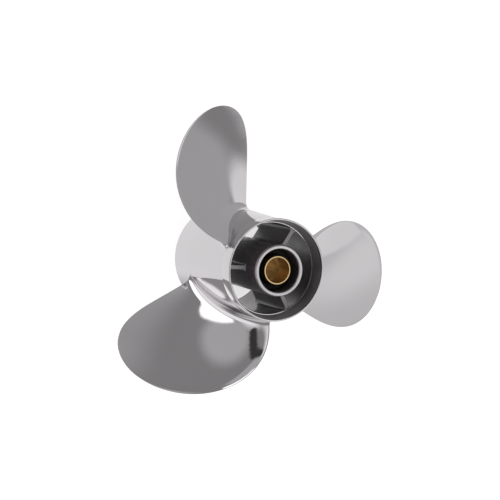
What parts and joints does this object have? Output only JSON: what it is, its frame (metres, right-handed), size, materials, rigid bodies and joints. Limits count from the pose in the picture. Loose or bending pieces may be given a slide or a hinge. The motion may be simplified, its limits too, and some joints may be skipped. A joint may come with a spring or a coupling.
{
  "type": "boat propeller",
  "caption": "Right-hand boat propeller with broad skewed blades on a through-exhaust hub, flared tail ring, ribs, rubber bush and splined brass drive sleeve.",
  "frame": {"origin": "on the shaft axis, halfway along the drive sleeve's forward pilot bore", "axes": "+Z along the shaft towards the aft end (the end where the nut goes), +X in the plane of the aft edge; the hub's forward face is at the bottom"},
  "size_m": [0.2993, 0.3037, 0.1505],
  "materials": {
    "polished_steel": "mirror-polished stainless steel",
    "exhaust_enamel": "semi-gloss dark heat-resistant enamel, as inside the exhaust passage",
    "rubber": "matt moulded rubber",
    "brass": "machined, slightly dulled"
  },
  "bodies": {
    "sleeve": {"drive_sleeve": "brass"},
    "bush": {"rubber_bush": "rubber"},
    "propeller": {"hub_barrel": "polished_steel", "diffuser_ring": "polished_steel", "inner_hub": "polished_steel", "rib_1": "exhaust_enamel", "rib_2": "exhaust_enamel", "rib_3": "exhaust_enamel", "blade_1": "polished_steel", "blade_2": "polished_steel", "blade_3": "polished_steel"}
  },
  "joints": [
    {"name": "bush_windup", "type": "hinge", "parent": "sleeve", "child": "bush", "pos_m": [0, 0, 0], "axis": [0, 0, 1], "range_deg": [-8, 8], "stiffness_Nm_per_rad": 1500},
    {"name": "overload_slip", "type": "hinge", "parent": "bush", "child": "propeller", "pos_m": [0, 0, 0], "axis": [0, 0, 1], "continuous": true}
  ]
}
